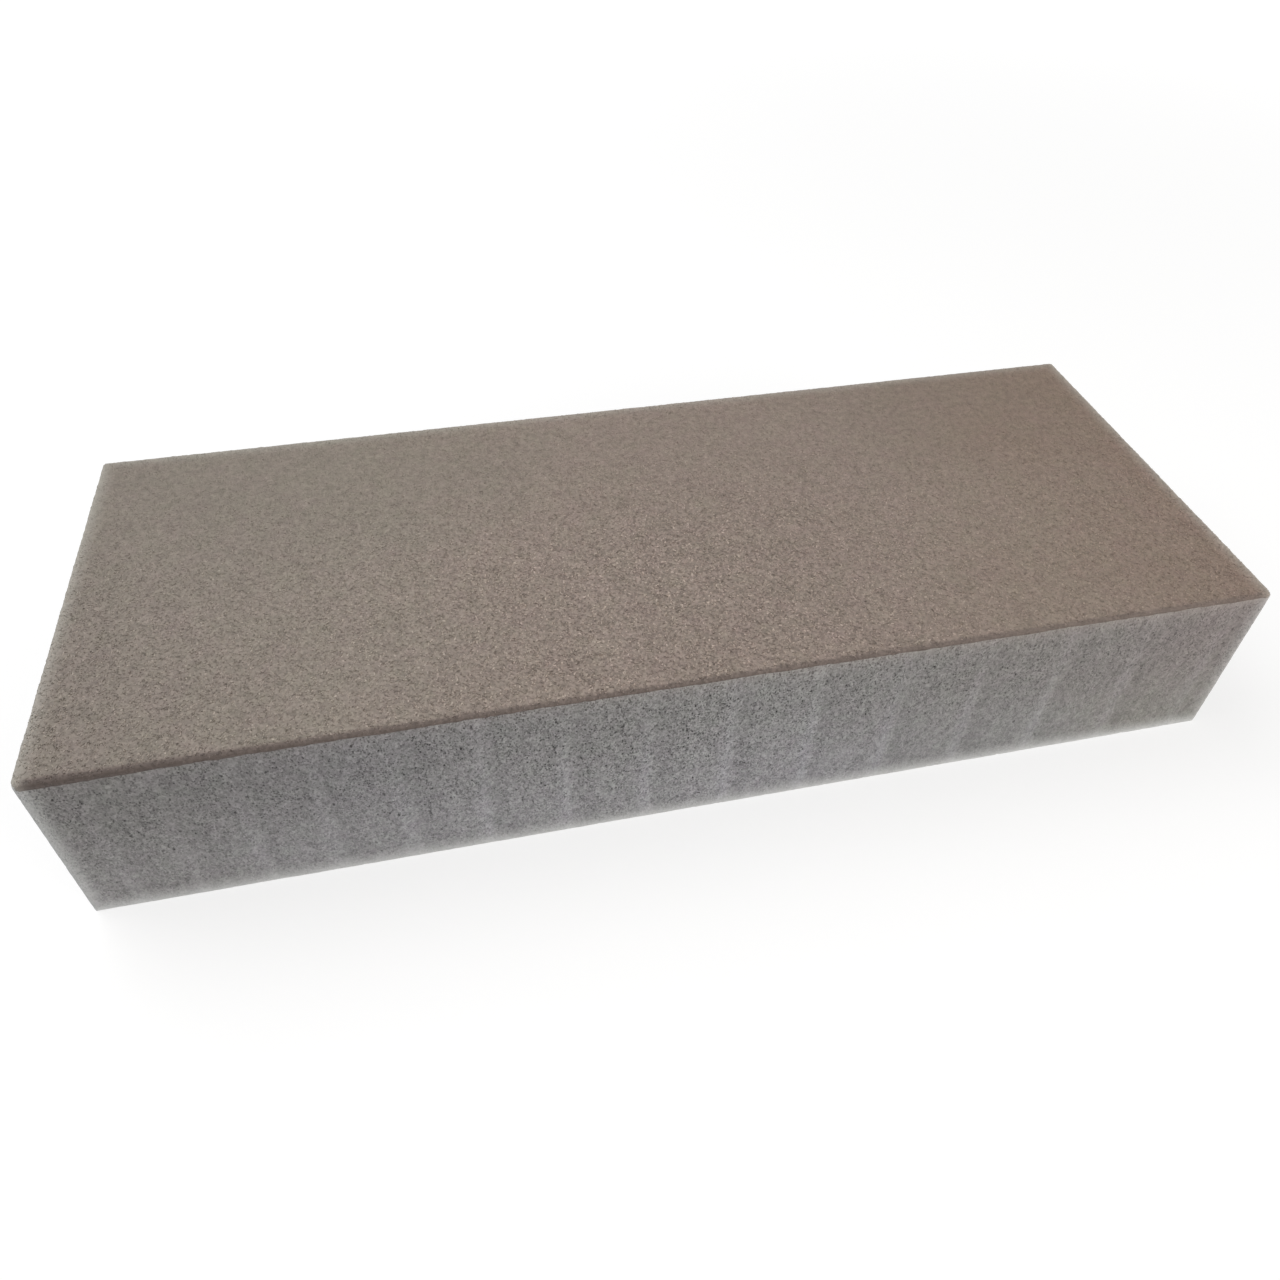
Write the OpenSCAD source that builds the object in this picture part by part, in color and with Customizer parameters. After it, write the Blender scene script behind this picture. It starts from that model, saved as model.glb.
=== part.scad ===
// Abrasive foam block.
// A slab of fine-cell foam, cut to size with a reciprocating knife, carries a coat of
// fine grit on its top face. The coat rolls over at its rim and overhangs the foam a little.
// The origin is the middle of the foam's bottom face. +X runs along the block, +Z is up.

/* [Block] */
// Overall length, across the grit coat
block_l = 120; // [80:1:200]
// Overall width, across the grit coat
block_w = 45; // [25:1:80]
// Thickness of the foam slab, without the coat
foam_t = 20.5; // [10:0.5:40]
// Radius of the foam's four upright corners
foam_corner_r = 0.3; // [0.2:0.1:2]

/* [Grit coat] */
// Thickness of the grit coat
coat_t = 0.4; // [0.3:0.1:1]
// Radius at which the coat's top rolls over into its rim
rim_roll_r = 0.4; // [0.2:0.05:1]
// Radius of the coat's two front corners, seen from above: handling has worn them round
front_corner_r = 0.9; // [0.4:0.1:1.2]
// Radius of its two back corners
back_corner_r = 0.4; // [0.4:0.1:1.2]
// Distance that the coat's rim stands out past the foam's sides
coat_overhang = 0.15; // [0.1:0.05:0.4]

/* [Knife marks] */
// Distance from the left end of a side to its first knife mark
first_mark = 3.8; // [3:0.1:10]
// Distance between knife marks once the feed has settled
mark_pitch = 9.6; // [9:0.1:16]
// How much shorter than that the first step of the feed is
feed_lag = 3.8; // [0:0.1:3.8]
// Share of that lag which is left after each further step
lag_kept = 0.85; // [0.5:0.01:0.9]
// Length over which the knife bites in
bite_l = 1.3; // [0.5:0.1:1.8]
// Depth of the bite
bite_d = 0.1; // [0.05:0.01:0.3]
// Length over which the bite runs out again
run_out = 2.6; // [1:0.1:3.2]

/* [Hidden] */
$fn = 48;
foam_l = block_l - 2 * coat_overhang;
foam_w = block_w - 2 * coat_overhang;
// Number of straight steps that make the curve of a run-out
run_out_steps = 4;
// Overlap that a cutting shape has past the face that it cuts
past = 1;
foam_grey = [0.50, 0.49, 0.49];
grit_brown = [0.55, 0.50, 0.46];

// Start of knife mark i along a side: the feed starts slow and settles to an even pitch.
function mark_at(i) =
    first_mark + mark_pitch * i - feed_lag * (1 - pow(lag_kept, i)) / (1 - lag_kept);

// Number of whole knife marks that a side of this length has room for.
function mark_count(length, i = 0) =
    mark_at(i) + bite_l + run_out + foam_corner_r > length ? i : mark_count(length, i + 1);

// Section of the knife mark that starts at u along a side: the knife bites in on a straight
// slope, then runs out on a curve. The second number of each point is its depth.
function mark_section(u) = [
    [u, 0],
    for (step = [0 : run_out_steps])
        let (done = step / run_out_steps)
            [u + bite_l + run_out * done, bite_d * pow(1 - done, 2)]
];

// Points of one whole side, from its left end to its right, as the knife left it.
function cut_side(length) = [
    [0, 0],
    for (i = [0 : mark_count(length) - 1])
        each mark_section(mark_at(i))
];

// Moves the points of one side to that side of the slab: half_l is half the side's own
// length, out is how far its face lies from the middle, and turn is its direction.
function placed_side(half_l, out, turn) = [
    for (p = cut_side(2 * half_l))
        let (along = p[0] - half_l, away = p[1] - out)
            [along * cos(turn) - away * sin(turn), along * sin(turn) + away * cos(turn)]
];

// Outline of the foam: four knife-cut sides, front, right end, back and left end.
module foam_outline() {
    polygon(concat(
        placed_side(foam_l / 2, foam_w / 2, 0),
        placed_side(foam_w / 2, foam_l / 2, 90),
        placed_side(foam_l / 2, foam_w / 2, 180),
        placed_side(foam_w / 2, foam_l / 2, 270)
    ));
}

// What is cut away to round an upright corner of radius r, its point at the origin.
module corner_waste(r) {
    difference() {
        translate([-r, -r])
            square(r + past);
        translate([-r, -r])
            circle(r);
    }
}

// Outline of the coat, with its front and its back pair of corners rounded.
module coat_outline() {
    difference() {
        square([block_l, block_w], center = true);
        for (x = [0, 1])
            mirror([x, 0]) {
                translate([block_l / 2, block_w / 2])
                    corner_waste(back_corner_r);
                translate([block_l / 2, -block_w / 2])
                    mirror([0, 1])
                        corner_waste(front_corner_r);
            }
    }
}

// Section across the coat, drawn past its underside, with its two upper corners rolled over.
module rolled_section(width) {
    roll = min(rim_roll_r, coat_t);
    translate([-width / 2, -past])
        square([width, past + coat_t - roll]);
    translate([-width / 2 + roll, 0])
        square([width - 2 * roll, coat_t]);
    for (side = [-1, 1])
        translate([side * (width / 2 - roll), coat_t - roll])
            circle(roll);
}

// The same section drawn out to the given length, along X.
module rolled_bar(length, width) {
    rotate([90, 0, 90])
        translate([0, 0, -length / 2])
            linear_extrude(length)
                rolled_section(width);
}

module foam_block() {
    color(foam_grey)
        linear_extrude(foam_t)
            difference() {
                foam_outline();
                for (x = [0, 1], y = [0, 1])
                    mirror([x, 0])
                        mirror([0, y])
                            translate([foam_l / 2, foam_w / 2])
                                corner_waste(foam_corner_r);
            }
}

module grit_coat() {
    color(grit_brown)
        translate([0, 0, foam_t])
            intersection() {
                rolled_bar(block_l + 2 * past, block_w);
                rotate([0, 0, 90])
                    rolled_bar(block_w + 2 * past, block_l);
                linear_extrude(coat_t)
                    coat_outline();
            }
}

foam_block();
grit_coat();
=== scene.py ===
"""Looks of the abrasive foam block: a knife-cut foam slab under a coat of fine grit.

The foam's sides follow the solid's own outline, knife marks and all, and get their open cells.
The coat is a thin skin that rolls over at its rim, and the grit is real grains set into it.
"""
import math

import bpy
import numpy as np
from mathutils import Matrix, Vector


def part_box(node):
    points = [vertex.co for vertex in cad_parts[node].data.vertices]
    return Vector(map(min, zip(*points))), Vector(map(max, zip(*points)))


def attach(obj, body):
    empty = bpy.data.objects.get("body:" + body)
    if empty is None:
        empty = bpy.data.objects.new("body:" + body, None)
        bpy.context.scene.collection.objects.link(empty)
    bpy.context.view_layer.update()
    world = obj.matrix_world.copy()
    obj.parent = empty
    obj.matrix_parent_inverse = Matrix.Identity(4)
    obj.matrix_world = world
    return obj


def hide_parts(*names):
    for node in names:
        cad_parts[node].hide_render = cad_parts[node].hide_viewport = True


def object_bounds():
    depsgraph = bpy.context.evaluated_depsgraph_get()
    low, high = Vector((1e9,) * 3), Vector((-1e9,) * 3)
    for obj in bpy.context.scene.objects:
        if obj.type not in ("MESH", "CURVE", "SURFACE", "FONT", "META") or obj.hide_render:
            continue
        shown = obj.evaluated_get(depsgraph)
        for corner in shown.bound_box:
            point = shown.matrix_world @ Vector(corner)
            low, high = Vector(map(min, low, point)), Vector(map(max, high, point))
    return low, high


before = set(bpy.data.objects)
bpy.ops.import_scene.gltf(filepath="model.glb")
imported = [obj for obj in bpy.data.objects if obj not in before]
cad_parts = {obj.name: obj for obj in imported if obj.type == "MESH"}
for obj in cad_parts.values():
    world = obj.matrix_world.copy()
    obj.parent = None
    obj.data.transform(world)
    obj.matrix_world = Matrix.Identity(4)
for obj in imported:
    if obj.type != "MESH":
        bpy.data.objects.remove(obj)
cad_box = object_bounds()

MM = 0.001
LENGTH = cad_box[1][0] - cad_box[0][0]
FOAM_SEED = 7  # of everything random in the foam's mesh
COAT_SEED = 8  # of everything random in the coat's mesh
BAKE_MAP = "OFBake"  # name of the map over which each piece's faces are laid out
MAP_MARGIN = 0.01  # bare border of that map
FADE = 2.2  # how steeply an edge's wear falls off at first


# ---------------------------------------------------------------- small helpers


def eased(value, start, end):
    """0 up to start, 1 from end on, and a smooth rise between them."""
    part = np.clip((value - start) / (end - start), 0, 1)
    return part * part * (3 - 2 * part)


def between(first, second, share):
    """First where the share is 0, second where it is 1, and evenly between them elsewhere."""
    return first + (second - first) * share


def near(distance, reach):
    """1 at an edge, falling to 0 at this reach from it."""
    return np.clip(1 - distance / reach, 0, 1) ** FADE


def smooth_noise(rng, shape, cells, wraps=False):
    """A field of this shape that swells between about -1 and 1, cells[0] by cells[1] waves across.

    With wraps, its first axis joins up with itself.
    """
    lattice = rng.uniform(-1, 1, (cells[0] + 1, cells[1] + 1))
    if wraps:
        lattice[-1] = lattice[0]

    def blended(values, count, joined):
        at = np.linspace(0, len(values) - 1, count, endpoint=not joined)
        low = np.minimum(at.astype(int), len(values) - 2)
        ease = eased(at - low, 0, 1)[:, None]
        return values[low] * (1 - ease) + values[low + 1] * ease

    return blended(blended(lattice, shape[0], wraps).T, shape[1], False).T


def make_piece(name, points, faces, map_places):
    """A mesh object from points in metres, faces as lists of corners, and a map place for each corner."""
    mesh = bpy.data.meshes.new(name)
    mesh.from_pydata(points.tolist(), [], faces)
    layer = mesh.uv_layers.new(name=BAKE_MAP)
    layer.data.foreach_set("uv", np.asarray(map_places, np.float32).ravel())
    piece = bpy.data.objects.new(name, mesh)
    bpy.context.scene.collection.objects.link(piece)
    return piece


def mark(piece, name, values):
    """Gives every point of a piece a value under this name, for its finish to read."""
    layer = piece.data.attributes.new(name, "FLOAT", "POINT")
    layer.data.foreach_set("value", np.asarray(values, np.float32).ravel())


# ---------------------------------------------------------------- nodes


class Socket:
    """An output of a node. Arithmetic on it adds Math nodes."""

    def __init__(self, nodes, socket):
        self.nodes = nodes
        self.socket = socket

    def combined(self, operation, first, second):
        return self.nodes.add("ShaderNodeMath", {"operation": operation}, {0: first, 1: second})

    def __add__(self, other):
        return self.combined("ADD", self, other)

    def __radd__(self, other):
        return self.combined("ADD", other, self)

    def __sub__(self, other):
        return self.combined("SUBTRACT", self, other)

    def __rsub__(self, other):
        return self.combined("SUBTRACT", other, self)

    def __mul__(self, other):
        return self.combined("MULTIPLY", self, other)

    def __rmul__(self, other):
        return self.combined("MULTIPLY", other, self)

    def __pow__(self, other):
        return self.combined("POWER", self, other)


def set_stops(ramp, stops):
    """Gives a colour ramp these stops, each a place from 0 to 1 and a colour."""
    for _ in range(len(stops) - len(ramp.elements)):
        ramp.elements.new(0.5)
    for element, (place, colour) in zip(ramp.elements, stops):
        element.position = place
        element.color = (*colour, 1)


class Nodes:
    """The nodes of a material, of the world or of a modifier."""

    def __init__(self, tree):
        self.tree = tree

    def feed(self, socket, value):
        """Links an output to a node's input, or sets a plain value on it."""
        if isinstance(value, Socket):
            self.tree.links.new(value.socket, socket)
        else:
            socket.default_value = value

    def node(self, kind, settings=None, inputs=None):
        """A new node: its settings are set first, then its inputs get values or links."""
        node = self.tree.nodes.new(kind)
        for key, value in (settings or {}).items():
            if key == "stops":
                set_stops(node.color_ramp, value)
            else:
                setattr(node, key, value)
        for key, value in (inputs or {}).items():
            self.feed(node.inputs[key], value)
        return node

    def add(self, kind, settings=None, inputs=None, output=0):
        """One output of a new node."""
        return Socket(self, self.node(kind, settings, inputs).outputs[output])

    def ranged(self, value, over, to=(0.0, 1.0)):
        """A value that goes smoothly from to[0] to to[1] as another passes over this range."""
        return self.add(
            "ShaderNodeMapRange",
            {"interpolation_type": "SMOOTHSTEP"},
            {"Value": value, 1: over[0], 2: over[1], 3: to[0], 4: to[1]},
        )

    def mixed(self, amount, first, second, way="MIX"):
        """Colours first and second, mixed by amount."""
        return self.add(
            "ShaderNodeMix",
            {"data_type": "RGBA", "blend_type": way},
            {0: amount, 6: first, 7: second},
            2,
        )

    def scaled(self, colour, by):
        return self.add("ShaderNodeVectorMath", {"operation": "SCALE"}, {0: colour, "Scale": by})

    def seen_directly(self):
        """At least 1 for what is looked at, also by way of gloss or glass, and 0 for other light."""
        path = self.node("ShaderNodeLightPath").outputs
        seen, glossy, through = (
            Socket(self, path[f"Is {ray} Ray"]) for ray in ("Camera", "Glossy", "Transmission")
        )
        return seen + glossy + through


# ---------------------------------------------------------------- finishes

# Places and sizes in this section are in millimetres, as a finish sees the block. A pattern's scale
# is how many of its spots there are for each millimetre, and where a pattern shows by some amount,
# that is how much of the tone it changes.
BACK_HALF = (-8.0, 20.0)  # where along Y the coat starts to turn into its clogged back half, with that half's own painted light and shade, and where it fully is
PORE_RIM = (0.15, 0.6)  # where an open cell's rim starts and ends, as shares of its size
DRIFT_PATCHES = 0.05  # scale of the patches in the drift of colour and painted light and shade along the block
DRIFT_SHIFT = 30  # how far they shift that drift to and fro
CLOUDS = 0.4  # scale of the clouds of mauve and green

# Each stop of a drift is a share of the way from the left end to the right, a level of painted light
# and shade, and how red and how blue the painted light makes the colour there. Each stop of a contrast is
# such a share and a level.
FOAM_GREY = (0.285, 0.279, 0.278)
# Painted light and shade: these levels make the foam darker towards its top and its ends, most of all at
# the left end, and paler towards its foot. Their red and blue give it a painted warm or cool cast.
FOAM_TOP_PAINTED_LIGHT = (
    (0.04, 0.77, 1.005, 0.985),
    (0.25, 0.845, 1.00, 1.025),
    (0.42, 0.89, 0.995, 0.995),
    (0.60, 0.945, 0.99, 0.995),
    (0.82, 0.87, 1.03, 0.97),
    (0.95, 0.835, 1.10, 0.975),
)
FOAM_FOOT_PAINTED_LIGHT = (
    (0.04, 1.05, 1.005, 1.01),
    (0.25, 1.205, 0.99, 1.035),
    (0.42, 1.14, 0.99, 1.035),
    (0.62, 1.165, 0.995, 1.055),
    (0.82, 1.08, 0.985, 1.00),
    (0.95, 1.02, 1.01, 0.945),
)
FOAM_CONTRAST = ((0.0, 0.62), (0.2, 0.62), (0.33, 0.76), (0.5, 0.95), (0.72, 0.6), (1.0, 0.42))
# Painted highlight: a pale glare along the foam's upright and bottom edges, which also lifts their shade.
EDGE_HIGHLIGHT_PALE = (0.80, 0.81, 0.805, 1)
SCUFF_TINT = (1.0, 1.0, 1.03, 1)
# Painted light: a pale, brownish band just under the coat, over the shade of its rim.
UNDER_RIM_LIGHT = (0.53, 0.46, 0.42, 1)

COAT_BROWN = (0.332, 0.270, 0.231)
# Painted light and shade: these levels make the coat darker towards its ends and its back edge. Their red
# and blue give it a painted cast, cooler at the left end and warmer at the right.
COAT_FRONT_PAINTED_LIGHT = (
    (0.04, 0.895, 0.945, 1.01),
    (0.24, 1.01, 0.945, 1.00),
    (0.37, 1.04, 0.985, 1.005),
    (0.65, 1.00, 1.00, 1.00),
    (0.84, 0.95, 1.01, 0.96),
    (1.00, 0.82, 1.09, 0.945),
)
COAT_BACK_PAINTED_LIGHT = (
    (0.04, 0.83, 0.94, 0.99),
    (0.24, 0.89, 0.935, 0.975),
    (0.42, 0.94, 0.985, 0.99),
    (0.62, 0.918, 1.005, 0.99),
    (0.78, 0.822, 1.01, 0.965),
    (1.00, 0.755, 1.075, 0.92),
)
COAT_CONTRAST = ((0.0, 0.68), (0.25, 0.74), (0.47, 0.95), (0.6, 0.88), (0.75, 0.58), (1.0, 0.48))
RESIN_BROWN = (0.348, 0.275, 0.243)  # before it darkens
RESIN_COVERS = 0.7  # how much of the grit's own colour a full run of resin hides
RESIN_DARKENS = 0.45  # how much darker such a run is
# Painted highlight: a pale glare along the coat's ends and back edge.
RIM_HIGHLIGHT_PALE = (0.62, 0.615, 0.56, 1)
MAUVE = (1.04, 0.965, 1.04, 1)
GREENISH = (0.96, 1.035, 0.96, 1)


class Finish(Nodes):
    """A material around one Principled shader, with the patterns that the block's surfaces share."""

    def __init__(self, name, plain):
        self.material = bpy.data.materials.new(name)
        self.material.use_nodes = True
        super().__init__(self.material.node_tree)
        self.shader = self.tree.nodes["Principled BSDF"]
        for socket, value in plain.items():
            self.drive(socket, value)

    def drive(self, socket, value):
        self.feed(self.shader.inputs[socket], value)

    def bump(self, height, depth):
        """Dents and bumps, this deep for each 1 of height."""
        self.drive("Normal", self.add("ShaderNodeBump", None, {"Height": height, "Distance": depth * MM}))

    def place(self):
        """Where a point of the piece lies, in millimetres."""
        return self.scaled(self.add("ShaderNodeTexCoord", output="Object"), 1 / MM)

    def along(self, axis, place):
        return self.add("ShaderNodeSeparateXYZ", None, {0: place}, axis)

    def stretched(self, place, by):
        """The same place with its height scaled, which draws a pattern out upwards by 1 / by."""
        return self.add("ShaderNodeVectorMath", {"operation": "MULTIPLY"}, {0: place, 1: (1, 1, by)})

    def shifted(self, place, by):
        """The same place moved, so that two patterns don't line up."""
        return self.add("ShaderNodeVectorMath", {"operation": "ADD"}, {0: place, 1: (by, by, by)})

    def attribute(self, name):
        return self.add("ShaderNodeAttribute", {"attribute_name": name}, None, "Fac")

    def noise(self, place, scale, octaves=2.0, roughness=0.5):
        """Soft clouds around 0.5, about 1 / scale across, with finer ones on them."""
        return self.add(
            "ShaderNodeTexNoise",
            None,
            {"Vector": place, "Scale": scale, "Detail": octaves, "Roughness": roughness},
            "Fac",
        )

    def strewn(self, place, scale, output):
        """Points strewn through space about 1 / scale apart: the nearest one's colour or distance."""
        return self.add(
            "ShaderNodeTexVoronoi", {"feature": "F1"}, {"Vector": place, "Scale": scale}, output
        )

    def cells(self, place, scale):
        """Space parted into cells about 1 / scale across, each with a value of its own near 0.5."""
        return self.strewn(place, scale, "Color")

    def pores(self, place, scale, closed):
        """Round open cells about 1 / scale apart. This share of them is closed, and the rest open by
        a different amount each."""
        opening = self.ranged(self.cells(place, scale), over=(closed, 1.0))
        rim = self.ranged(self.strewn(place, scale, "Distance"), over=PORE_RIM, to=(1.0, 0.0))
        return rim * opening

    def share_along(self, place):
        """How far a point lies from the left end to the right, 0 to 1, in patches that waver."""
        patches = self.noise(place, DRIFT_PATCHES) - 0.5
        return (self.along("X", place) + DRIFT_SHIFT * patches) * (MM / LENGTH) + 0.5

    def painted_light_drift(self, share, base, drift):
        """A base colour that drifts along the block, with painted light and shade and a painted warm or
        cool cast.
        """
        stops = [
            (at, (base[0] * level * red, base[1] * level, base[2] * level * blue))
            for at, level, red, blue in drift
        ]
        return self.add("ShaderNodeValToRGB", {"stops": stops}, {"Fac": share}, "Color")

    def level_along(self, share, levels):
        """A plain number below 1 that changes along the block."""
        stops = [(at, (level, level, level)) for at, level in levels]
        return self.add("ShaderNodeValToRGB", {"stops": stops}, {"Fac": share}, "Color")

    def clouded(self, colour, place):
        """A colour that clouds over a little, here mauve and there green, in patches of all sizes."""
        patches = self.noise(place, CLOUDS, octaves=4.0, roughness=0.75)
        return self.mixed(1.0, colour, self.mixed(patches, MAUVE, GREENISH), "MULTIPLY")


CELL_SQUAT = 0.75  # the foam rose as it set, so its cells are wider apart upwards by 1 / this
WALLS = 5.5  # scale of the cell walls
WALL_GROUPS, GROUPS_SHOW = 2.6, 0.34  # groups of walls that are cut alike
FINE_PORES, FINE_PORE_SHADE, FINE_CLOSED = 5.2, 0.8, 0.2  # small open cells, how dark their painted shade makes them, and which share is closed
WIDE_PORES, WIDE_PORE_SHADE, WIDE_CLOSED = 3.1, 0.93, 0.35  # large ones
GROUPS_APART, WIDE_APART = 17.0, 5.0  # shifts that keep them from lining up with the others
PORES_TAKE = 0.2  # what the open cells' painted shade takes off the tone on average
OPEN_PATCHES = 0.35  # scale of the patches in which more cells are open
OPENER_HEIGHTS, OPENER = (2.0, 15.0), (0.1, 0.6)  # how much more open the cells are, by height, which makes the foam darker upwards with their painted shade
EVENER_SHARES, EVENER = (0.45, 0.75), (0.0, 0.25)  # how much more even the foot is, by share along
FOAM_CLUMPS, FOAM_CLUMPS_SHOW = 1.0, 0.42  # denser and looser spots
STREAKS, STREAKS_SHOW = 1.1, 0.17  # faint upright streaks that the knife left
STREAK_SQUAT = 0.07  # they are longer than they are wide by 1 / this
SCUFF_SHOWS = 0.125
FOAM_LEVEL = 0.995  # mean tone of the foam
FOOT_TO_TOP = (0.0, 18.0)  # heights between which the foot's colour turns into the top's, and its painted light with it
FOAM_DENTS = 0.06  # depth of the dents and bumps of the cells


def foam_finish():
    """Cut grey foam: cell walls in many tones, open pores darkened with painted shade, pale knife marks
    with painted light and shade, a painted highlight along the edges and painted light under the coat."""
    finish = Finish("cut_foam", {"Roughness": 0.92, "Specular IOR Level": 0.2})
    place = finish.place()
    height = finish.along("Z", place)
    share = finish.share_along(place)
    lowness = finish.ranged(height, over=FOOT_TO_TOP, to=(1.0, 0.0))

    risen = finish.stretched(place, CELL_SQUAT)
    walls = finish.cells(risen, WALLS)
    groups = finish.cells(finish.shifted(risen, GROUPS_APART), WALL_GROUPS)
    clumps = finish.noise(risen, FOAM_CLUMPS, octaves=4.0, roughness=0.72)
    streaks = finish.noise(finish.stretched(place, STREAK_SQUAT), STREAKS, roughness=0.6)
    more_open = finish.ranged(height, over=OPENER_HEIGHTS, to=OPENER)
    openness = finish.noise(risen, OPEN_PATCHES, octaves=3.0, roughness=0.6) + more_open
    fine_pores = finish.pores(risen, FINE_PORES, FINE_CLOSED) * openness
    wide_pores = finish.pores(finish.shifted(risen, WIDE_APART), WIDE_PORES, WIDE_CLOSED) * openness

    evenness = lowness * finish.ranged(share, over=EVENER_SHARES, to=EVENER)
    contrast = finish.level_along(share, FOAM_CONTRAST) * (1 - evenness)
    # Painted shade: the open cells are darkened as if shade fell into them.
    open_cells = (walls - 0.5) - FINE_PORE_SHADE * fine_pores - WIDE_PORE_SHADE * wide_pores + PORES_TAKE
    tone = FOAM_LEVEL + contrast * open_cells
    tone = tone + GROUPS_SHOW * (groups - 0.5) + FOAM_CLUMPS_SHOW * (clumps - 0.5)
    tone = tone + STREAKS_SHOW * (streaks - 0.5)
    # Scuffing and painted light and shade: paler where the knife bites in, darker where the bite runs out.
    tone = tone * (1 + SCUFF_SHOWS * finish.attribute("scuff"))

    # Painted light and shade along the block and up the sides: paler at the foot, darker towards the top.
    upper = finish.painted_light_drift(share, FOAM_GREY, FOAM_TOP_PAINTED_LIGHT)
    foot = finish.painted_light_drift(share, FOAM_GREY, FOAM_FOOT_PAINTED_LIGHT)
    grey = finish.clouded(finish.scaled(finish.mixed(lowness, upper, foot), tone), place)
    scuffed = finish.mixed(finish.attribute("scuff"), grey, SCUFF_TINT, "MULTIPLY")
    # Painted light: paler and brownish just under the coat.
    lifted_under_rim = finish.mixed(finish.attribute("dusted"), scuffed, UNDER_RIM_LIGHT)
    # Painted highlight: pale along the edges.
    finish.drive("Base Color", finish.mixed(finish.attribute("frayed"), lifted_under_rim, EDGE_HIGHLIGHT_PALE))
    finish.bump(walls + clumps * 0.5 - fine_pores - wide_pores, FOAM_DENTS)
    return finish.material


GRIT_CLUMPS, GRIT_CLUMPS_SHOW = 1.2, 0.48  # darker and paler spots of a few grains
CLUMPIER_BEHIND = 0.45  # how much more they show in the back half
MOTTLE, MOTTLE_SHOWS = 0.35, 0.12  # wider ones
EVENER_BEHIND = 0.62  # how much less single grains show in the back half
BINDER_GRAIN, BINDER_GRAIN_SHOWS = 4.5, 0.55  # unevenness of the resin
BINDER_LEVEL = 0.89  # mean tone of the resin
BINDER_DENTS = 0.12  # depth of the dents and bumps in it
MINERAL_LEVEL = 0.985  # mean tone of the grains
MINERAL_SHOWS = 1.05  # how far their own tones lie apart


def colour_grit(finish, place, level, grain):
    """Gives a finish the brown of the coat at this level, with its grain, mottling and a drift of colour
    with painted light and shade. It is darker where resin has run to the edge, and paler with a painted
    highlight along its ends and back edge."""
    share = finish.share_along(place)
    behind = finish.ranged(finish.along("Y", place), over=BACK_HALF)
    clumps = finish.noise(place, GRIT_CLUMPS, octaves=3.0, roughness=0.65)
    mottle = finish.noise(place, MOTTLE)
    contrast = finish.level_along(share, COAT_CONTRAST) * (1 - EVENER_BEHIND * behind)
    tone = level + contrast * grain + MOTTLE_SHOWS * (mottle - 0.5)
    tone = tone + GRIT_CLUMPS_SHOW * (1 + CLUMPIER_BEHIND * behind) * (clumps - 0.5)

    # Painted light and shade along the block and from front to back, with a painted warm or cool cast.
    front = finish.painted_light_drift(share, COAT_BROWN, COAT_FRONT_PAINTED_LIGHT)
    back = finish.painted_light_drift(share, COAT_BROWN, COAT_BACK_PAINTED_LIGHT)
    brown = finish.clouded(finish.scaled(finish.mixed(behind, front, back), tone), place)
    run = finish.attribute("resin")
    resined = finish.mixed(RESIN_COVERS * run, brown, finish.scaled(RESIN_BROWN, tone))
    dark = finish.scaled(resined, 1 - RESIN_DARKENS * run)
    # Painted highlight: pale along the ends and the back edge.
    finish.drive("Base Color", finish.mixed(finish.attribute("worn"), dark, RIM_HIGHLIGHT_PALE))


def coat_finish():
    """The resin that binds the grit."""
    finish = Finish("grit_binder", {"Roughness": 0.75, "Specular IOR Level": 0.3})
    place = finish.place()
    grain = finish.cells(place, BINDER_GRAIN)
    colour_grit(finish, place, BINDER_LEVEL, BINDER_GRAIN_SHOWS * (grain - 0.5))
    finish.bump(grain, BINDER_DENTS)
    return finish.material


def grain_finish():
    """Fine mineral grains: each has its own tone of warm grey-brown, and a few are pale."""
    finish = Finish("grit_mineral", {"Roughness": 0.6, "Specular IOR Level": 0.35})
    mostly_dark = finish.attribute("tone") ** 2  # 0.33 on average
    colour_grit(finish, finish.place(), MINERAL_LEVEL, MINERAL_SHOWS * (mostly_dark - 0.33))
    return finish.material


# ---------------------------------------------------------------- foam slab

FOAM_STEP = 0.28 * MM  # width of a face on the foam's sides
SWELLS = ((3.0 * MM, 0.010 * MM), (1.4 * MM, 0.012 * MM), (0.7 * MM, 0.014 * MM))  # width, height
ROUGH = 0.014 * MM  # unevenness from one cell wall to the next
PIT_SHARE = 0.06  # share of points that lie in an open cell
PIT_DEPTH = 0.09 * MM  # mean depth of such a cell
PIT_SPREAD = (0.4, 1.6)  # least and greatest depth of one, as shares of that
EDGE_EASE = 0.6 * MM  # how far from an edge the side grows even
CORNER_EVEN, FOOT_EVEN = 0.85, 0.6  # how even it is at an upright edge and at the bottom edge
EDGE_WEAR = 0.02 * MM  # how far the top and bottom edges are worn back
FOAM_RISE = 0.15 * MM  # how far the foam reaches up inside the coat's rim
ROUNDED = 1 * MM  # how far from a corner of the outline its rounding reaches
BITE_SLOPE = 0.08  # how steeply the knife bites in
RUN_OUT_SHADE = -0.6  # painted shade where the bite runs out, at the most
BARE_CORNER = 2 * MM  # how far from an upright edge there is no scuffing and no painted light and shade of the bites
SCUFF_BLUR = 0.6 * MM  # how far the scuffing and its painted light and shade reach past the bite
SCUFF_FAINTEST = 0.4  # share of the scuffing and its painted light and shade that shows below the coat, and at the left end
SCUFF_FADES = (0.5, 0.85)  # between which shares of the height it grows as faint as that
SCUFF_GROWS = (-45 * MM, 0)  # between which places along the block it grows from that to full
UNDER_RIM_REACH = 0.9 * MM  # how far below the coat the painted light reaches
UNDER_RIM_LEFT, UNDER_RIM_RIGHT = 0.12, 0.42  # how strong that painted light is at the two ends
HIGHLIGHT_REACH = 2.5 * MM  # how far from an upright edge the foam is painted pale, a painted highlight
HIGHLIT_LEFT, HIGHLIT_RIGHT = 0.72, 0.40  # how strong that painted highlight is on the upright edges at the two ends
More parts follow.
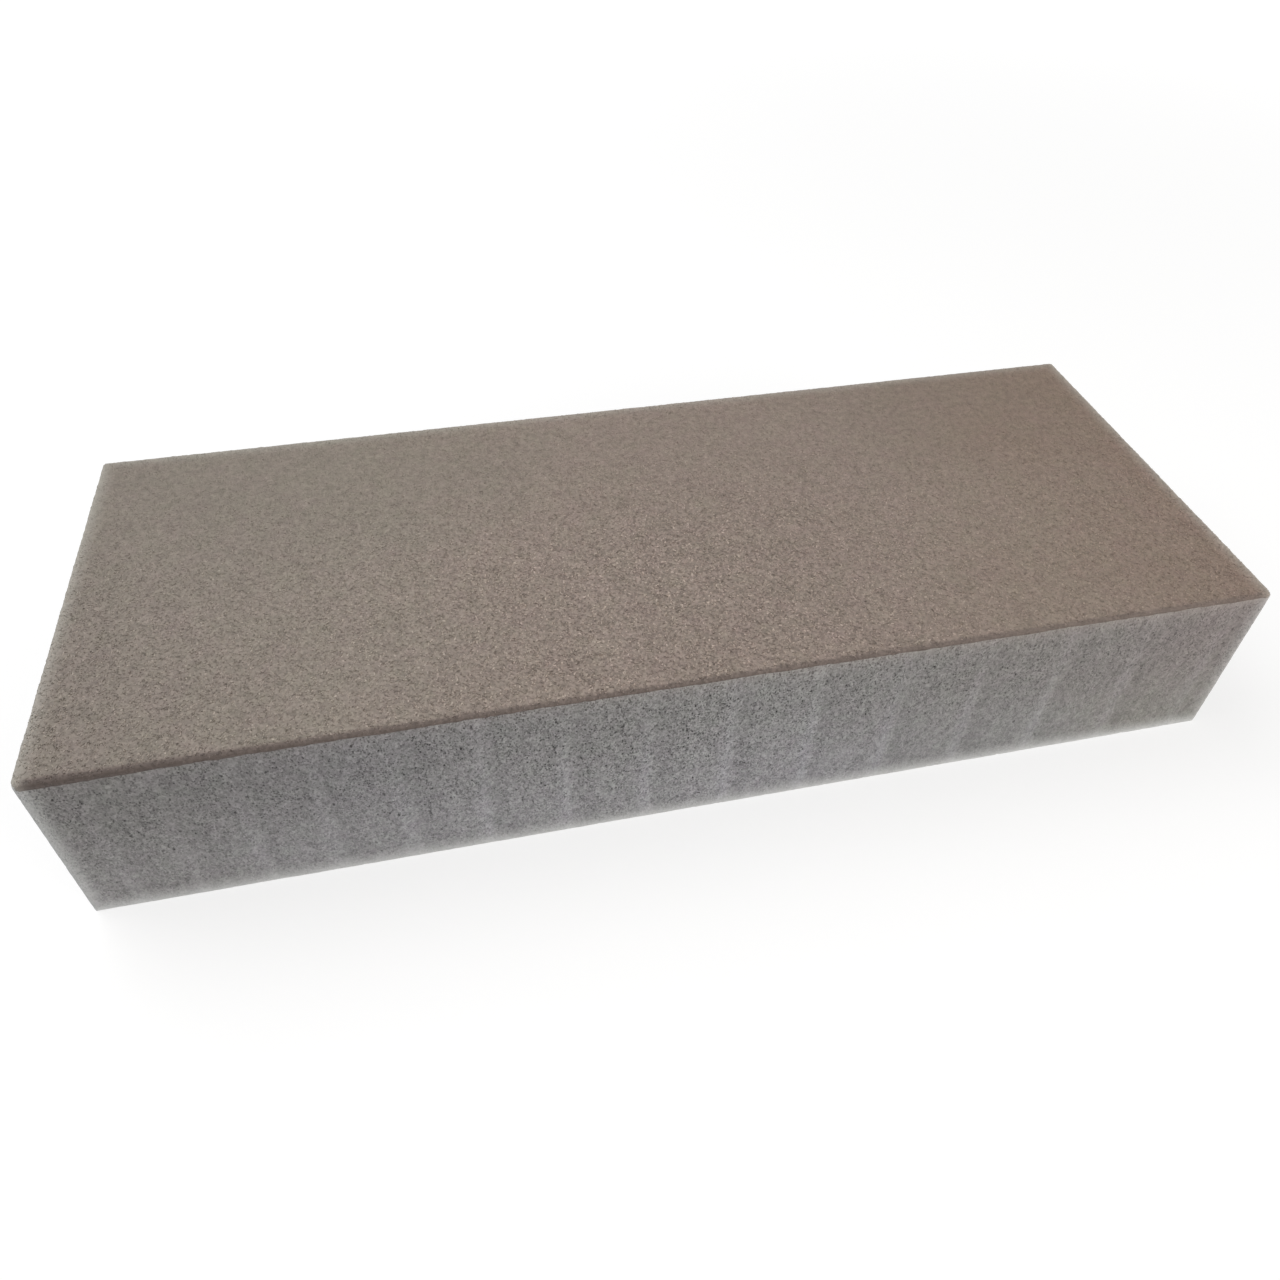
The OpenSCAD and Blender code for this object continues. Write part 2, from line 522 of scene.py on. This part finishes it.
LEFT_TO_RIGHT = (-50 * MM, 50 * MM)  # places between which the one turns into the other
LESS_BEHIND = 0.55  # how much weaker it is on the back ones
FRONT_TO_BACK = (-10 * MM, 10 * MM)  # places between which that grows to its full
FOOT_HIGHLIGHT_REACH = 2.9 * MM  # how far the painted highlight reaches from its bottom edge, up the sides and in underneath
FOOT_HIGHLIT = 0.98  # how strong it is there
UNDERSIDE_RINGS = (0.4 * MM, 1.0 * MM, 1.8 * MM, FOOT_HIGHLIGHT_REACH)  # rings of points in from that edge
FOAM_MAP = 1.05  # side of the foam's map, in lengths of the block
STRIP = 1.1  # width that the map keeps for each side of the block, in heights of the foam


def outline_of(node):
    """Corners of a prism's outline, anticlockwise, from the lowest points of its solid."""
    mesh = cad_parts[node].data
    points = np.empty(len(mesh.vertices) * 3, np.float32)
    mesh.vertices.foreach_get("co", points)
    points = points.reshape(-1, 3).astype(float)
    lowest = points[points[:, 2] < points[:, 2].min() + 0.01 * MM, :2]
    corners = np.unique(lowest.round(7), axis=0)
    return corners[np.argsort(np.arctan2(corners[:, 1], corners[:, 0]))]


def walked(outline, step):
    """Points about a step apart all round a closed outline."""
    closed = np.vstack([outline, outline[:1]])
    along = np.concatenate([[0], np.cumsum(np.hypot(*np.diff(closed, axis=0).T))])
    count = round(along[-1] / step)
    at = np.arange(count) * along[-1] / count
    return np.stack([np.interp(at, along, closed[:, axis]) for axis in (0, 1)], 1)


def outwards(ring):
    """The level direction straight out of a ring of points that runs anticlockwise."""
    run = np.roll(ring, -1, 0) - np.roll(ring, 1, 0)
    run /= np.hypot(*run.T)[:, None]
    return np.stack([run[:, 1], -run[:, 0]], 1)


def side_depth(ring):
    """How deep each point of a ring lies inside the nearest flat side, and how far from a corner."""
    low, high = ring.min(0), ring.max(0)
    gaps = np.sort(np.hstack([ring - low, high - ring]), 1)
    return gaps[:, 0], gaps[:, 1]


def knife_scuff_and_shade(ring):
    """1 where the knife bites in and the foam is scuffed pale and painted lighter, below 0 where the bite
    runs out and is painted in shade.
    """
    depth, to_corner = side_depth(ring)
    slope = (np.roll(depth, -1) - np.roll(depth, 1)) / (2 * FOAM_STEP)
    scuff = np.clip(slope / BITE_SLOPE, RUN_OUT_SHADE, 1)
    scuff[to_corner < BARE_CORNER] = 0
    reach = round(SCUFF_BLUR / FOAM_STEP)
    return sum(np.roll(scuff, by) for by in range(-reach, reach + 1)) / (2 * reach + 1)


def worn_even(ring):
    """How far the bottom edge is worn back at each point, so that no bite shows along it."""
    depth, to_corner = side_depth(ring)
    deepest = depth[to_corner > ROUNDED].max()
    return np.maximum(deepest - depth, 0)


def foam_relief(rng, ring, level):
    """How far each point of the sides stands out of the cut, for each point of the ring and each
    level. Swells, cell walls and open cells all grow even towards the edges."""
    shape = (len(ring), len(level))
    relief = rng.normal(0, ROUGH, shape)
    for width, swell in SWELLS:
        cells = (round(len(ring) * FOAM_STEP / width), round((level[-1] - FOAM_RISE) / width))
        relief += 2 * swell * smooth_noise(rng, shape, cells, wraps=True)
    pits = (rng.random(shape) < PIT_SHARE) * rng.uniform(*PIT_SPREAD, shape)
    relief -= PIT_DEPTH * pits
    _, to_corner = side_depth(ring)
    relief *= 1 - CORNER_EVEN * np.exp(-to_corner / EDGE_EASE)[:, None]
    relief *= 1 - FOOT_EVEN * np.exp(-level / EDGE_EASE)
    relief -= worn_even(ring)[:, None] * np.exp(-level / EDGE_EASE)
    relief[:, 0] -= EDGE_WEAR
    relief[:, -1] = -EDGE_WEAR
    return relief


def foam_faces(count, rows):
    """Faces of the sides and of the underside's border, and the corners of its middle and the top.

    The points are rows of count points up the sides, and then the underside's rings.
    """
    here = np.arange(count)
    after = np.roll(here, -1)
    row = (np.arange(rows - 1) * count)[:, None]
    sides = np.stack([row + here, row + after, row + count + after, row + count + here], 2)
    inner = (rows * count + count * np.arange(len(UNDERSIDE_RINGS)))[:, None]
    outer = np.vstack([[[0]], inner[:-1]])
    border = np.stack([inner + here, inner + after, outer + after, outer + here], 2)
    middle = (inner[-1] + here)[::-1]
    top = (rows - 1) * count + here
    return sides.reshape(-1, 4), border.reshape(-1, 4), middle, top


def side_places(ring, rows, height):
    """Map places of the side faces' corners, each of the four sides a strip of its own. With them
    come the map's scale and where on it the strips end."""
    low, high = ring.min(0), ring.max(0)
    size = high - low
    scale = 1 / (FOAM_MAP * size.max())
    middle = (ring + np.roll(ring, -1, 0)) / 2
    side = np.hstack([middle - low, high - middle])[:, [1, 2, 3, 0]].argmin(1)
    strip = STRIP * height
    strips_up = np.array([0, 2, 1, 2])[side] * strip
    shift = np.where(side == 3, size[0] - size[1], 0.0)

    def across(points):
        run = np.where(side % 2 == 0, points[:, 0] - low[0], points[:, 1] - low[1])
        return (run + shift) * scale

    starts, ends = across(ring), across(np.roll(ring, -1, 0))
    level = np.linspace(0, height, rows)
    places = np.empty((rows - 1, len(ring), 4, 2))
    for corner, (run, upper) in enumerate(((starts, 0), (ends, 0), (ends, 1), (starts, 1))):
        places[:, :, corner, 0] = run
        places[:, :, corner, 1] = (level[upper : upper + rows - 1, None] + strips_up) * scale
    return places.reshape(-1, 2) + MAP_MARGIN, scale, 3 * strip * scale


def mark_foam(foam, ring, level, height):
    """Marks where the knife scuffed the foam, with painted light and shade on its bites, where a painted
    highlight lies along the edges and where painted light lies under the coat.
    """
    _, to_corner = side_depth(ring)
    to_right = eased(ring[:, 0], *LEFT_TO_RIGHT)
    to_back = eased(ring[:, 1], *FRONT_TO_BACK)

    def mark_points(name, sides, underside=0.0):
        on_sides = np.broadcast_to(sides, (len(level), len(ring)))
        on_rings = np.broadcast_to(underside, (len(UNDERSIDE_RINGS), len(ring)))
        mark(foam, name, np.concatenate([on_sides, on_rings]))

    # Where the knife scuffed the foam, with the painted light and shade of its bites.
    fades, faded = (share * height for share in SCUFF_FADES)
    low_down = np.clip((faded - level) / (faded - fades), 0, 1)[:, None]
    from_left = eased(ring[:, 0], *SCUFF_GROWS)
    scuff = between(SCUFF_FAINTEST, 1, low_down) * between(SCUFF_FAINTEST, 1, from_left)
    mark_points("scuff", scuff * knife_scuff_and_shade(ring))

    # Painted highlight along the upright edges and the bottom edge, and in underneath.
    upright = between(HIGHLIT_LEFT, HIGHLIT_RIGHT, to_right) * near(to_corner, HIGHLIGHT_REACH)
    upright *= 1 - LESS_BEHIND * to_back
    foot = FOOT_HIGHLIT * near(level, FOOT_HIGHLIGHT_REACH)[:, None]
    underside = FOOT_HIGHLIT * near(np.array(UNDERSIDE_RINGS), FOOT_HIGHLIGHT_REACH)[:, None]
    mark_points("frayed", np.maximum(foot, upright), underside)

    # Painted light just under the coat, stronger to the right.
    below_coat = np.exp(np.minimum(level - height, 0) / UNDER_RIM_REACH)[:, None]
    mark_points("dusted", below_coat * between(UNDER_RIM_LEFT, UNDER_RIM_RIGHT, to_right))


def make_foam():
    """The slab of foam, with its cut sides, its bare underside and a top that the coat hides."""
    low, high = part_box("foam_block")
    height = high.z - low.z
    ring = walked(outline_of("foam_block"), FOAM_STEP)
    count = len(ring)
    rows = round(height / FOAM_STEP) + 1
    level = np.linspace(0, height + FOAM_RISE, rows)
    relief = foam_relief(np.random.default_rng(FOAM_SEED), ring, level)

    on_sides = np.empty((rows, count, 3))
    on_sides[:, :, :2] = ring + outwards(ring) * relief.T[:, :, None]
    on_sides[:, :, 2] = low.z + level[:, None]
    half = np.array([high.x - low.x, high.y - low.y]) / 2
    underneath = np.full((len(UNDERSIDE_RINGS), count, 3), low.z)
    underneath[:, :, :2] = [ring * (1 - inset / half) for inset in UNDERSIDE_RINGS]
    points = np.concatenate([on_sides, underneath]).reshape(-1, 3)

    sides, border, middle, top = foam_faces(count, rows)
    faces = sides.tolist() + border.tolist() + [middle.tolist(), top.tolist()]
    places, scale, strips_end = side_places(ring, rows, height)
    flat = points[np.concatenate([border.reshape(-1), middle, top]), :2]
    flat_places = (flat - ring.min(0)) * scale + (MAP_MARGIN, MAP_MARGIN + strips_end)

    foam = make_piece("foam", points, faces, np.vstack([places, flat_places]))
    foam.data.materials.append(foam_finish())
    foam.data.polygons.foreach_set("use_smooth", np.arange(len(faces)) < len(sides))
    edge_ends = np.empty(2 * len(foam.data.edges), np.int32)
    foam.data.edges.foreach_get("vertices", edge_ends)
    sharp = foam.data.attributes.new("sharp_edge", "BOOLEAN", "EDGE")
    sharp.data.foreach_set("value", (edge_ends.reshape(-1, 2) < count).all(1))
    mark_foam(foam, ring, level, height)
    return foam


foam = make_foam()
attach(foam, "root")
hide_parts("foam_block")


# ---------------------------------------------------------------- grit coat

COAT_STEP = 0.34 * MM  # width of a face on the coat
RIM_STEPS = 7  # faces across the rolled rim
ROLL = 0.4 * MM  # radius at which the coat rolls over
ROLL_TURN = math.radians(66)  # how far round it rolls before it meets the foam
FRONT_CORNER = 0.9 * MM  # radius of its front corners, seen from above
BACK_CORNER = 0.4 * MM  # radius of its back corners
BLEED = 0.07 * MM  # how far the resin runs down the foam, on average
BLEED_WAVES = ((56, 21), (160, 60), (300, 112))  # waves in that, along the coat and across it
BLEED_SWING, BLEED_LEAST = 0.9, 0.1  # height of those waves, and the least run, as shares of it
RUN = 6.0  # how much further it has run at the left front corner, in times the average
RUN_ALONG, RUN_IN = 50 * MM, 5 * MM  # how far from there it has, along the front and back from it
RESIN_EDGE = 0.75 * MM  # how far in from the front edge resin has darkened the coat
RESIN_WIDER = 0.2 * MM  # how much further at the left end
RESIN_FADE = 0.5 * MM  # width over which the darkening fades in
RESIN_ENDS = (0.3 * MM, 1.3 * MM)  # how far from an end it starts and is full
RESIN_LEFT, RESIN_RIGHT = 1.27, 0.75  # how strong it is at the two ends
RESIN_STRONGER = 0.25  # how much stronger still where resin has run at the left end
LOWER_RIM = (0.72, 0.95)  # how far round the roll its dark foot starts and is full, but in front
RIM_HIGHLIGHT_REACH = 2.2 * MM  # how far from its ends and back edge the coat is painted pale, a painted highlight
END_HIGHLIT, BACK_HIGHLIT = 0.5, 0.4  # how strong that painted highlight is there
RIM_BARER, RIM_FINER = 0.8, 0.5  # how much fewer grains its rim has, and how much smaller ones
FINER_BEHIND, FINER_RIGHT, FINER_LEFT = 0.38, 0.18, 0.16  # how much smaller the grains are there
RIGHT_FROM, LEFT_FROM = (5 * MM, 40 * MM), (12 * MM, 40 * MM)  # how far from the middle they shrink
COAT_ROUGH = 0.015 * MM  # unevenness from one face to the next
COAT_SWELL, COAT_SWELLS = 0.012 * MM, (60, 24)  # height of its wider swells, and how many
SUNK = 0.06 * MM  # how far the skin lies below the solid's top
RIM_LESS_SUNK = 0.7  # how much less at the end of the roll
COAT_MAP = 2.05  # side of the coat's map, in half lengths of the coat
UNDERSIDE_SMALLER, UNDERSIDE_SHIFT = 0.2, 0.5  # how small its underside is on that map, and where


def coat_grid(half):
    """The coat laid flat, as a grid of places: even faces over its top and finer ones at its rim."""
    rim = np.linspace(0, FRONT_CORNER - ROLL + ROLL * ROLL_TURN + BLEED, RIM_STEPS + 1)[1:]

    def lines(end):
        top = np.linspace(-end, end, round(2 * end / COAT_STEP) + 1)
        return np.concatenate([-end - rim[::-1], top, end + rim])

    x, y = (lines(end) for end in half - FRONT_CORNER)
    return np.stack(np.meshgrid(x, y, indexing="ij"), -1)


def rolled_over(grid, half):
    """What the laid-flat grid becomes at the rim. Each place gets the nearest place on the flat top's
    core, the level direction away from that, how far it lies that way, how far round the roll it is
    and how far below the roll."""
    to_back_half = eased(grid[..., 1], -half[1] / 2, half[1] / 2)
    corner = between(FRONT_CORNER, BACK_CORNER, to_back_half)
    flat_edge = corner - ROLL
    inner = half - corner[..., None]
    core = np.clip(grid, -inner, inner)
    past = grid - core
    length = np.hypot(past[..., 0], past[..., 1])
    way = past / np.maximum(length, 1e-12)[..., None]
    far = np.abs(past).max(-1)
    angle = np.clip((far - flat_edge) / ROLL, 0, ROLL_TURN)
    outward = np.minimum(far, flat_edge) + ROLL * np.sin(angle)
    below = np.maximum(far - flat_edge - ROLL * ROLL_TURN, 0)
    return core, way, outward, angle, below


def coat_faces(shape):
    """Faces over a grid of points of this shape, and the points all round its edge."""
    index = np.arange(shape[0] * shape[1]).reshape(shape)
    quads = np.stack([index[:-1, :-1], index[1:, :-1], index[1:, 1:], index[:-1, 1:]], -1)
    edge = np.concatenate([index[:, 0], index[-1, 1:], index[-2::-1, -1], index[0, -2:0:-1]])
    return quads.reshape(-1, 4), edge


def coat_places(grid, quads, underside):
    """Map places of the coat's faces, and of its underside, much smaller, beside them."""
    flat = grid.reshape(-1, 2)
    spread = (flat - flat.min(0)) / (COAT_MAP * grid.max()) + MAP_MARGIN
    beside = spread[underside] * UNDERSIDE_SMALLER + UNDERSIDE_SHIFT
    return np.vstack([spread[quads.reshape(-1)], beside])


def mark_coat(coat, grid, points, way, angle, half):
    """Marks where resin has run and where the rim has a painted highlight, and how dense and large the
    grains are.
    """
    x, y = points[..., 0], points[..., 1]
    to_front = y + half[1]
    to_back = half[1] - y
    to_end = half[0] - np.abs(x)
    share = (x + half[0]) / (2 * half[0])
    far_left = near(grid[..., 0] + half[0], RUN_ALONG)
    rim = angle / ROLL_TURN
    frontward = np.clip(-way[..., 1], 0, 1)

    lower_rim = (1 - frontward) * eased(rim, *LOWER_RIM)
    run = eased(RESIN_EDGE + RESIN_WIDER * far_left - to_front, 0, RESIN_FADE)
    run *= between(RESIN_LEFT, RESIN_RIGHT, share) + RESIN_STRONGER * far_left
    run *= eased(to_end, *RESIN_ENDS)
    mark(coat, "resin", np.maximum(run, lower_rim))
    # Painted highlight along the ends and the back edge, but not on the roll's dark foot.
    worn = np.maximum(END_HIGHLIT * near(to_end, RIM_HIGHLIGHT_REACH), BACK_HIGHLIT * near(to_back, RIM_HIGHLIGHT_REACH))
    mark(coat, "worn", worn * (1 - lower_rim))

    grit = 1 - RIM_BARER * rim
    grit[[0, -1], :] = 0
    grit[:, [0, -1]] = 0
    mark(coat, "grit", grit)
    finer = FINER_BEHIND * eased(grid[..., 1], BACK_HALF[0] * MM, BACK_HALF[1] * MM)
    finer += FINER_RIGHT * eased(grid[..., 0], *RIGHT_FROM)
    finer += FINER_LEFT * eased(-grid[..., 0], *LEFT_FROM)
    mark(coat, "size", (1 - RIM_FINER * rim) * (1 - finer))


def make_coat():
    """The skin of resin that the grains sit in. It rolls over at its rim and bleeds down the foam."""
    low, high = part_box("grit_coat")
    half = np.array([high.x - low.x, high.y - low.y]) / 2
    grid = coat_grid(half)
    shape = grid.shape[:2]
    core, way, outward, angle, below = rolled_over(grid, half)

    rng = np.random.default_rng(COAT_SEED)
    wave = sum(smooth_noise(rng, shape, cells) for cells in BLEED_WAVES)
    left_corner = near(grid[..., 0] + half[0], RUN_ALONG) * near(grid[..., 1] + half[1], RUN_IN)
    run_down = np.maximum(1 + BLEED_SWING * wave, BLEED_LEAST) + RUN * left_corner
    fall = ROLL * (1 - np.cos(angle)) + below * run_down
    lift = rng.normal(0, COAT_ROUGH, shape)
    lift += COAT_SWELL * smooth_noise(rng, shape, COAT_SWELLS)
    lift -= SUNK * (1 - RIM_LESS_SUNK * angle / ROLL_TURN)

    points = np.empty(shape + (3,))
    points[..., :2] = core + way * (outward + lift * np.sin(angle))[..., None]
    points[..., 2] = high.z - fall + lift * np.cos(angle)
    quads, edge = coat_faces(shape)
    underside = edge[::-1]
    faces = quads.tolist() + [underside.tolist()]
    places = coat_places(grid, quads, underside)

    coat = make_piece("grit_skin", points.reshape(-1, 3), faces, places)
    mark_coat(coat, grid, points, way, angle, half)
    coat.data.materials.append(coat_finish())
    coat.data.polygons.foreach_set("use_smooth", np.arange(len(faces)) < len(quads))
    return coat


coat = make_coat()
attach(coat, "root")
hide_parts("grit_coat")


# ---------------------------------------------------------------- grains

GRAIN_PIECES = 4  # pieces that the grains are shared out over
GRAINS = 4.0 / MM**2  # grains for each square metre of coat, in each of those pieces
GRAIN_RADIUS = 0.17 * MM
GRAIN_CORNERS = 6
GRAIN_SHAPES = 4  # different shapes of grain
SQUASH = ((0.6, 0.6, 0.4), (1.3, 1.3, 0.8))  # least and greatest size of a grain, in its radius
TILT = ((-0.4, -0.4, 0), (0.4, 0.4, math.tau))  # least and greatest turn of a grain, in radians
GRAIN_MAP = 0.98  # share of the grains' map that the length of the block takes
SIZE_SEED, SHAPE_SEED, TILT_SEED, TONE_SEED = 11, 12, 13, 14
RANDOM_SOCKETS = {"FLOAT_VECTOR": (0, 1, 0), "FLOAT": (2, 3, 1), "INT": (4, 5, 2)}  # low, high, out


def grain_scatter():
    """Nodes that strew faceted grains over a skin and set each one in at its own tilt and size.

    With them come the identifiers of their inputs.
    """
    tree = bpy.data.node_groups.new("grain_scatter", "GeometryNodeTree")
    identifiers = {}
    for name, kind, way in (
        ("Skin", "NodeSocketGeometry", "INPUT"),
        ("Grains per Square Metre", "NodeSocketFloat", "INPUT"),
        ("Grain Radius", "NodeSocketFloat", "INPUT"),
        ("Corners", "NodeSocketInt", "INPUT"),
        ("Seed", "NodeSocketInt", "INPUT"),
        ("Map Scale", "NodeSocketFloat", "INPUT"),
        ("Finish", "NodeSocketMaterial", "INPUT"),
        ("Grains", "NodeSocketGeometry", "OUTPUT"),
    ):
        socket = tree.interface.new_socket(name=name, in_out=way, socket_type=kind)
        identifiers[name] = socket.identifier
    nodes = Nodes(tree)
    group_inputs = nodes.node("NodeGroupInput").outputs
    given = {socket.name: Socket(nodes, socket) for socket in group_inputs if socket.name}
    result = nodes.node("NodeGroupOutput").inputs

    def random(kind, low, high, seed):
        low_at, high_at, out = RANDOM_SOCKETS[kind]
        inputs = {low_at: low, high_at: high, "Seed": seed}
        return nodes.add("FunctionNodeRandomValue", {"data_type": kind}, inputs, out)

    def marked(name):
        return nodes.add("GeometryNodeInputNamedAttribute", {"data_type": "FLOAT"}, {"Name": name})

    shapes = nodes.node("GeometryNodeJoinGeometry")
    for shape in range(GRAIN_SHAPES):
        corner = nodes.add(
            "ShaderNodeVectorMath",
            {"operation": "NORMALIZE"},
            {0: random("FLOAT_VECTOR", (-1, -1, -1), (1, 1, 1), shape)},
        )
        cloud = nodes.add("GeometryNodePoints", None, {"Count": given["Corners"], "Position": corner})
        hull = nodes.add("GeometryNodeConvexHull", None, {0: cloud})
        nodes.feed(shapes.inputs[0], nodes.add("GeometryNodeGeometryToInstance", None, {0: hull}))

    density = marked("grit") * given["Grains per Square Metre"]
    strewn = nodes.node(
        "GeometryNodeDistributePointsOnFaces",
        None,
        {"Mesh": given["Skin"], "Density": density, "Seed": given["Seed"]},
    )
    squash = random("FLOAT_VECTOR", *SQUASH, SIZE_SEED)
    tilt = random("FLOAT_VECTOR", *TILT, TILT_SEED)
    upright = Socket(nodes, strewn.outputs["Rotation"])
    turned = nodes.add(
        "FunctionNodeRotateRotation",
        {"rotation_space": "LOCAL"},
        {"Rotation": upright, "Rotate By": tilt},
    )
    placed = nodes.add(
        "GeometryNodeInstanceOnPoints",
        None,
        {
            "Points": Socket(nodes, strewn.outputs["Points"]),
            "Instance": Socket(nodes, shapes.outputs[0]),
            "Pick Instance": True,
            "Instance Index": random("INT", 0, GRAIN_SHAPES - 1, SHAPE_SEED),
            "Rotation": turned,
            "Scale": nodes.scaled(squash, marked("size") * given["Grain Radius"]),
        },
    )
    toned = nodes.add(
        "GeometryNodeStoreNamedAttribute",
        {"data_type": "FLOAT", "domain": "INSTANCE"},
        {"Geometry": placed, "Name": "tone", "Value": random("FLOAT", 0.0, 1.0, TONE_SEED)},
    )
    loose = nodes.add("GeometryNodeRealizeInstances", None, {0: toned})
    across = nodes.add(
        "ShaderNodeCombineXYZ", None, {0: given["Map Scale"], 1: given["Map Scale"]}
    )
    map_place = nodes.add(
        "ShaderNodeVectorMath",
        {"operation": "MULTIPLY_ADD"},
        {0: nodes.add("GeometryNodeInputPosition"), 1: across, 2: (0.5, 0.5, 0.0)},
    )
    mapped = nodes.add(
        "GeometryNodeStoreNamedAttribute",
        {"data_type": "FLOAT2", "domain": "CORNER"},
        {"Geometry": loose, "Name": BAKE_MAP, "Value": map_place},
    )
    finished = nodes.add("GeometryNodeSetMaterial", None, {"Geometry": mapped, "Material": given["Finish"]})
    nodes.feed(result[0], finished)
    return tree, identifiers


def strew(name, scatter, skin, finish, seed):
    """Grains strewn over the skin, as one plain mesh."""
    tree, identifiers = scatter
    host = bpy.data.objects.new(name + "_host", skin.data)
    bpy.context.scene.collection.objects.link(host)
    modifier = host.modifiers.new("grains", "NODES")
    modifier.node_group = tree
    for socket, value in (
        ("Grains per Square Metre", GRAINS),
        ("Grain Radius", GRAIN_RADIUS),
        ("Corners", GRAIN_CORNERS),
        ("Seed", seed),
        ("Map Scale", GRAIN_MAP / LENGTH),
        ("Finish", finish),
    ):
        modifier[identifiers[socket]] = value
    shaped = host.evaluated_get(bpy.context.evaluated_depsgraph_get())
    mesh = bpy.data.meshes.new_from_object(shaped)
    mesh.name = name
    grains = bpy.data.objects.new(name, mesh)
    bpy.context.scene.collection.objects.link(grains)
    bpy.data.objects.remove(host)
    return grains


scatter = grain_scatter()
mineral = grain_finish()
for number in range(GRAIN_PIECES):
    grains = strew(f"grit_grains_{number + 1}", scatter, coat, mineral, number)
    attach(grains, "root")


# ---------------------------------------------------------------- floor, light and camera

FLOOR_REACH = 3.0  # metres from the block to the floor's edge
LIT_FLOOR = (0.8, 0.8, 0.8, 1)  # colour of the floor as light lands on it
SEEN_FLOOR = (0.34, 0.34, 0.34, 1)  # its colour as it is looked at, on top of its own glow
BLACK = (0, 0, 0, 1)
GLOW = (0.70, 1.0)  # that glow close to the block, where its shadow shows, and far away
GLOW_RISES = (120.0, 600.0)  # how many millimetres away it starts to rise and is full
STUDIO_LIGHT = 0.3  # strength of the light from all round
WHITE = 1.0  # strength at which the background is white


def floor_finish():
    """Plain white. It glows to the eye alone, and keeps the block's shadow."""
    finish = Finish(
        "white_floor", {"Roughness": 1.0, "Specular IOR Level": 0.0, "Emission Strength": 1.0}
    )
    seen = finish.seen_directly()
    finish.drive("Base Color", finish.mixed(seen, LIT_FLOOR, SEEN_FLOOR))
    distance = finish.add(
        "ShaderNodeVectorMath", {"operation": "LENGTH"}, {0: finish.place()}, "Value"
    )
    glow = finish.ranged(distance, over=GLOW_RISES, to=GLOW)
    finish.drive("Emission Color", finish.mixed(seen, BLACK, glow))
    return finish.material


def make_floor():
    mesh = bpy.data.meshes.new("floor")
    corners = [(FLOOR_REACH * x, FLOOR_REACH * y, 0) for x, y in ((-1, -1), (1, -1), (1, 1), (-1, 1))]
    mesh.from_pydata(corners, [], [(0, 1, 2, 3)])
    mesh.materials.append(floor_finish())
    floor = bpy.data.objects.new("floor", mesh)
    bpy.context.scene.collection.objects.link(floor)
    return floor


def make_light(name, place, target, side, strength, colour=(1, 1, 1)):
    """A square softbox that faces its target. Its places and its side are in millimetres."""
    lamp = bpy.data.lights.new(name, "AREA")
    lamp.shape = "SQUARE"
    lamp.size = side * MM
    lamp.energy = strength
    lamp.color = colour
    light = bpy.data.objects.new(name, lamp)
    bpy.context.scene.collection.objects.link(light)
    light.location = Vector(place) * MM
    facing = Vector(target) * MM - light.location
    light.rotation_euler = facing.to_track_quat("-Z", "Y").to_euler()


def make_world():
    """Soft light from all round, behind a background that looks white."""
    world = bpy.data.worlds.new("studio")
    bpy.context.scene.world = world
    world.use_nodes = True
    studio = Nodes(world.node_tree)
    backing = studio.tree.nodes["Background"].inputs
    backing["Color"].default_value = (1, 1, 1, 1)
    strength = studio.ranged(studio.seen_directly(), over=(0.0, 1.0), to=(STUDIO_LIGHT, WHITE))
    studio.feed(backing["Strength"], strength)


def make_camera():
    """Looks down on the front and the top from a little to the left of the block's middle."""
    data = bpy.data.cameras.new("camera")
    data.sensor_width = 36.0
    data.lens = 28.254
    data.shift_x = 0.00602
    data.shift_y = -0.07602
    data.clip_start = 0.001
    camera = bpy.data.objects.new("camera", data)
    camera.location = (-0.020364, -0.079939, 0.092396)
    camera.rotation_euler = [math.radians(turn) for turn in (47.9945, -0.9354, -11.8411)]
    bpy.context.scene.collection.objects.link(camera)
    bpy.context.scene.camera = camera


make_floor()
make_light("top_softbox", place=(-220, 120, 380), target=(0, 0, 0), side=380, strength=1.5)
make_light(
    "right_softbox",
    place=(330, -300, 160),
    target=(20, 0, 10),
    side=260,
    strength=1.14,
    colour=(1.0, 0.965, 0.92),
)
make_world()
make_camera()
bpy.context.scene.view_settings.view_transform = "Standard"
